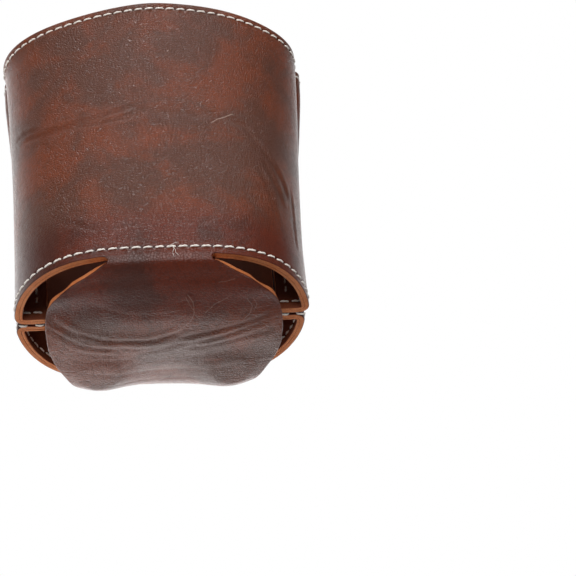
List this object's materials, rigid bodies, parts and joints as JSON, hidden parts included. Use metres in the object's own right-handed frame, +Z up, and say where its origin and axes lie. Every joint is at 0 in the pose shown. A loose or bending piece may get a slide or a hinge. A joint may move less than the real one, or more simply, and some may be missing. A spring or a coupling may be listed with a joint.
{
  "type": "leather dice cup",
  "caption": "Oval leather dice cup: a folded strip of lined leather, its sides sewn inward and its rounded tongue base hung as a sling, with contrast stitching.",
  "frame": {"origin": "under the middle of the base, in the plane that the base rests on", "axes": "+Z up through the mouth, +X along the mouth's long side towards the right side seam, +Y from the front wall to the back wall"},
  "size_m": [0.095, 0.065, 0.109],
  "materials": {
    "outer_leather": "antiqued two-tone brown grain with a soft wax gloss",
    "lining": "matt dark brown",
    "thread": "matt off-white waxed polyester"
  },
  "bodies": {
    "root": {"outer_leather": "outer_leather", "lining": "lining", "front_rim_needle_thread": "thread", "front_rim_bobbin_thread": "thread", "front_edge_needle_thread": "thread", "front_edge_bobbin_thread": "thread", "back_rim_needle_thread": "thread", "back_rim_bobbin_thread": "thread", "back_edge_needle_thread": "thread", "back_edge_bobbin_thread": "thread", "left_seam_needle_thread": "thread", "left_seam_bobbin_thread": "thread", "right_seam_needle_thread": "thread", "right_seam_bobbin_thread": "thread"}
  },
  "joints": []
}
